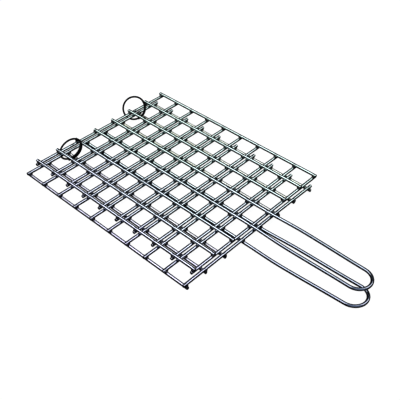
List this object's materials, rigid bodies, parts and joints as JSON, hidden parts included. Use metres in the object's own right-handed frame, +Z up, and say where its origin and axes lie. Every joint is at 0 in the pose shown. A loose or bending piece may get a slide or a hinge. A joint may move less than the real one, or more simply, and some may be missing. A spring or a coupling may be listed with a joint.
{
  "type": "grill basket",
  "caption": "Flat hinged grill basket of welded wire: nesting square-mesh grilles, each with a wire loop handle, joined at the far end by loose split rings.",
  "frame": {"origin": "middle of the closed basket's bounding box, on the surface it lies on", "axes": "+X from the hinged end towards the handles, +Y towards the side over which the upper grille lies, +Z up"},
  "size_m": [0.3692, 0.2044, 0.0217],
  "materials": {
    "grille_wire": "bright zinc plated, drawn wire, lightly scuffed",
    "ring_wire": "blackened spring steel, satin"
  },
  "bodies": {
    "lower_grille": {"lower_long_wire_01": "grille_wire", "lower_long_wire_02": "grille_wire", "lower_long_wire_03": "grille_wire", "lower_long_wire_04": "grille_wire", "lower_long_wire_05": "grille_wire", "lower_long_wire_06": "grille_wire", "lower_cross_wire_01": "grille_wire", "lower_cross_wire_02": "grille_wire", "lower_cross_wire_03": "grille_wire", "lower_cross_wire_04": "grille_wire", "lower_cross_wire_05": "grille_wire", "lower_cross_wire_06": "grille_wire", "lower_cross_wire_07": "grille_wire", "lower_cross_wire_08": "grille_wire", "lower_cross_wire_09": "grille_wire", "lower_cross_wire_10": "grille_wire", "lower_handle_wire": "grille_wire"},
    "upper_grille": {"upper_long_wire_01": "grille_wire", "upper_long_wire_02": "grille_wire", "upper_long_wire_03": "grille_wire", "upper_long_wire_04": "grille_wire", "upper_long_wire_05": "grille_wire", "upper_long_wire_06": "grille_wire", "upper_cross_wire_01": "grille_wire", "upper_cross_wire_02": "grille_wire", "upper_cross_wire_03": "grille_wire", "upper_cross_wire_04": "grille_wire", "upper_cross_wire_05": "grille_wire", "upper_cross_wire_06": "grille_wire", "upper_cross_wire_07": "grille_wire", "upper_cross_wire_08": "grille_wire", "upper_cross_wire_09": "grille_wire", "upper_cross_wire_10": "grille_wire", "upper_handle_wire": "grille_wire"},
    "right_ring": {"right_split_ring": "ring_wire"},
    "left_ring": {"left_split_ring": "ring_wire"}
  },
  "joints": [
    {"name": "grille_hinge", "type": "hinge", "parent": "lower_grille", "child": "upper_grille", "pos_m": [-0.17255, 0, 0.005], "axis": [0, -1, 0], "range_deg": [0, 180]},
    {"name": "right_ring_swing", "type": "hinge", "parent": "lower_grille", "child": "right_ring", "pos_m": [-0.16954, 0.05281, 0.01183], "axis": [0, -1, 0], "range_deg": [0, 72]},
    {"name": "left_ring_swing", "type": "hinge", "parent": "lower_grille", "child": "left_ring", "pos_m": [-0.17097, -0.04554, 0.01397], "axis": [0, -1, 0], "range_deg": [0, 26]}
  ],
  "couplings": [
    {"joint": "right_ring_swing", "follows": "grille_hinge", "ratio": 0.395},
    {"joint": "left_ring_swing", "follows": "grille_hinge", "ratio": 0.144}
  ]
}
